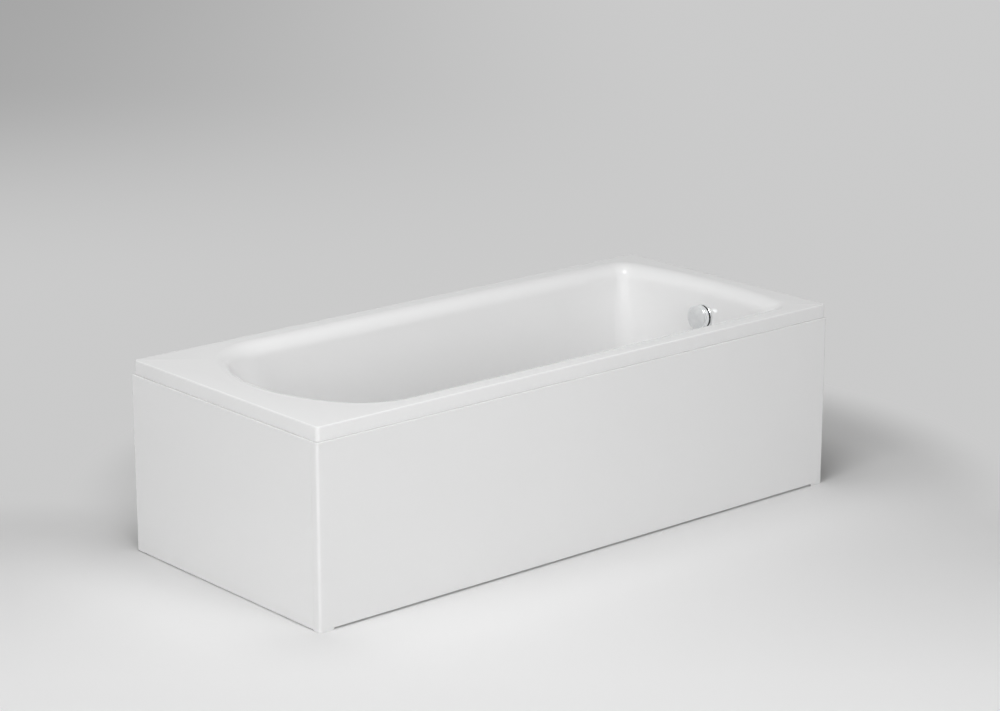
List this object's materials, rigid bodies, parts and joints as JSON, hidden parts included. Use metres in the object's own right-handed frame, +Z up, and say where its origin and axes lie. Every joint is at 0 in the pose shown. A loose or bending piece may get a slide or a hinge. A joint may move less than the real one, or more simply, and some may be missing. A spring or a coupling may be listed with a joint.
{
  "type": "bathtub",
  "caption": "Rectangular built-in bath with a rounded head end, front and end panels, levelling feet, and a chrome overflow knob that lifts the plug.",
  "frame": {"origin": "centre of the footprint at floor level", "axes": "+X to the drain end, +Y to the back wall, +Z up"},
  "size_m": [1.706, 0.756, 0.5],
  "materials": {
    "bath_acrylic": "polished white acrylic",
    "panel_acrylic": "polished white acrylic",
    "batten_wood": "planed softwood",
    "board_wood": "raw chipboard",
    "zinc_steel": "zinc plated",
    "black_plastic": "moulded",
    "white_plastic": "moulded polypropylene",
    "grey_plastic": "moulded",
    "chrome": "polished",
    "brass": "turned",
    "rubber": "moulded",
    "cable_sheath": "extruded"
  },
  "bodies": {
    "bath": {"base_board": "board_wood", "bracket_screws": "zinc_steel", "clip_screws": "zinc_steel", "corner_post": "batten_wood", "corner_screws": "zinc_steel", "end_panel": "panel_acrylic", "foot_lock_nuts": "zinc_steel", "front_panel": "panel_acrylic", "leg_bar_drain": "zinc_steel", "leg_bar_head": "zinc_steel", "leg_bar_screws": "zinc_steel", "lever_pin": "zinc_steel", "lift_cable": "cable_sheath", "outlet_nut": "white_plastic", "outlet_pipe": "white_plastic", "outlet_sleeve": "rubber", "overflow_body": "white_plastic", "overflow_gasket": "rubber", "overflow_nut_lower": "white_plastic", "overflow_nut_upper": "white_plastic", "overflow_pipe": "white_plastic", "overflow_rosette": "chrome", "panel_bracket_drain": "zinc_steel", "panel_bracket_head": "zinc_steel", "panel_clips_end": "grey_plastic", "panel_clips_front": "grey_plastic", "rim_batten_back": "batten_wood", "rim_batten_drain": "batten_wood", "rim_batten_front": "batten_wood", "rim_batten_head": "batten_wood", "rosette_seal": "rubber", "trap_housing": "white_plastic", "trap_screws": "zinc_steel", "trap_seal": "rubber", "tub_shell": "bath_acrylic", "waste_body": "white_plastic", "waste_flange": "chrome", "waste_gasket": "rubber", "waste_seal": "rubber"},
    "knob": {"overflow_knob": "chrome", "knob_spindle": "brass", "cable_crank": "brass"},
    "plug": {"waste_plug": "chrome", "plug_seal": "rubber"},
    "lever": {"lift_lever": "brass"},
    "foot_head_front": {"foot_pad_head_front": "black_plastic", "foot_stud_head_front": "zinc_steel"},
    "foot_head_back": {"foot_pad_head_back": "black_plastic", "foot_stud_head_back": "zinc_steel"},
    "foot_drain_front": {"foot_pad_drain_front": "black_plastic", "foot_stud_drain_front": "zinc_steel"},
    "foot_drain_back": {"foot_pad_drain_back": "black_plastic", "foot_stud_drain_back": "zinc_steel"}
  },
  "joints": [
    {"name": "knob_turn", "type": "hinge", "parent": "bath", "child": "knob", "pos_m": [0.76965, 0.003, 0.403], "axis": [-0.9963, 0, 0.0858], "range_deg": [0, 90]},
    {"name": "plug_lift", "type": "slide", "parent": "bath", "child": "plug", "axis": [0, 0, 1], "range_m": [0, 0.01]},
    {"name": "lever_turn", "type": "hinge", "parent": "bath", "child": "lever", "pos_m": [0.593, -0.021, 0.0976], "axis": [1, 0, 0], "range_deg": [0, 22.9]},
    {"name": "foot_head_front_level", "type": "slide", "parent": "bath", "child": "foot_head_front", "axis": [0, 0, -1], "range_m": [-0.02, 0.012]},
    {"name": "foot_head_back_level", "type": "slide", "parent": "bath", "child": "foot_head_back", "axis": [0, 0, -1], "range_m": [-0.02, 0.012]},
    {"name": "foot_drain_front_level", "type": "slide", "parent": "bath", "child": "foot_drain_front", "axis": [0, 0, -1], "range_m": [-0.02, 0.012]},
    {"name": "foot_drain_back_level", "type": "slide", "parent": "bath", "child": "foot_drain_back", "axis": [0, 0, -1], "range_m": [-0.02, 0.012]}
  ],
  "couplings": [
    {"joint": "plug_lift", "follows": "knob_turn", "m_per_rad": 0.006366},
    {"joint": "lever_turn", "follows": "knob_turn", "ratio": 0.2544}
  ]
}
